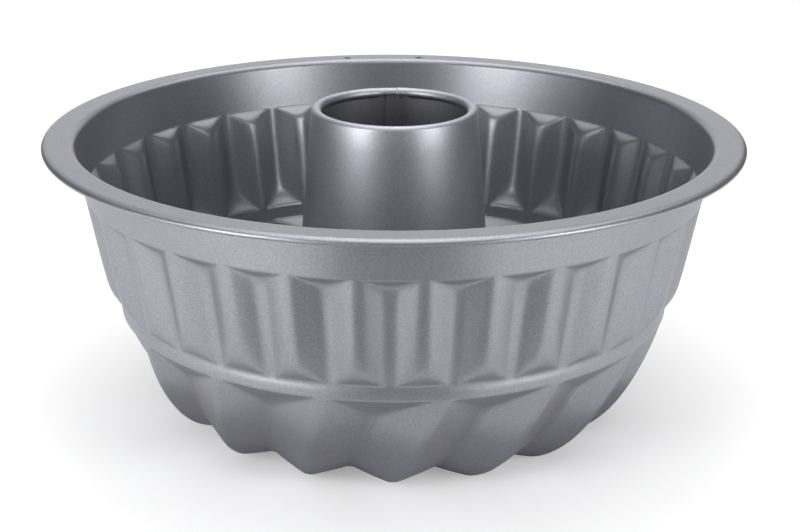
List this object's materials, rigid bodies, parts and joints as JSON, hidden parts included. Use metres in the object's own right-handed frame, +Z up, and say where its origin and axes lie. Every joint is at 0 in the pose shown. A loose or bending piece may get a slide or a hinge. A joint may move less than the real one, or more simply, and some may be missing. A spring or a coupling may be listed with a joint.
{
  "type": "fluted tube pan",
  "caption": "Round steel baking pan with upright flutes above a swirl of lobes, a flanged rim with rolled edge, and a hollow centre tube hooked into the floor.",
  "frame": {"origin": "centre of the ring of lobes that the pan stands on, in the plane of the table", "axes": "+Z up along the tube towards the open rim, +Y towards the two hanging holes at the back of the rim, +X to the right seen from the front"},
  "size_m": [0.244, 0.244, 0.1108],
  "materials": {
    "shell_coating": "satin, finely speckled grey non-stick coating on steel sheet",
    "tube_coating": "satin, finely speckled grey non-stick coating on steel sheet"
  },
  "bodies": {
    "root": {"pan_shell": "shell_coating", "centre_tube": "tube_coating"}
  },
  "joints": []
}
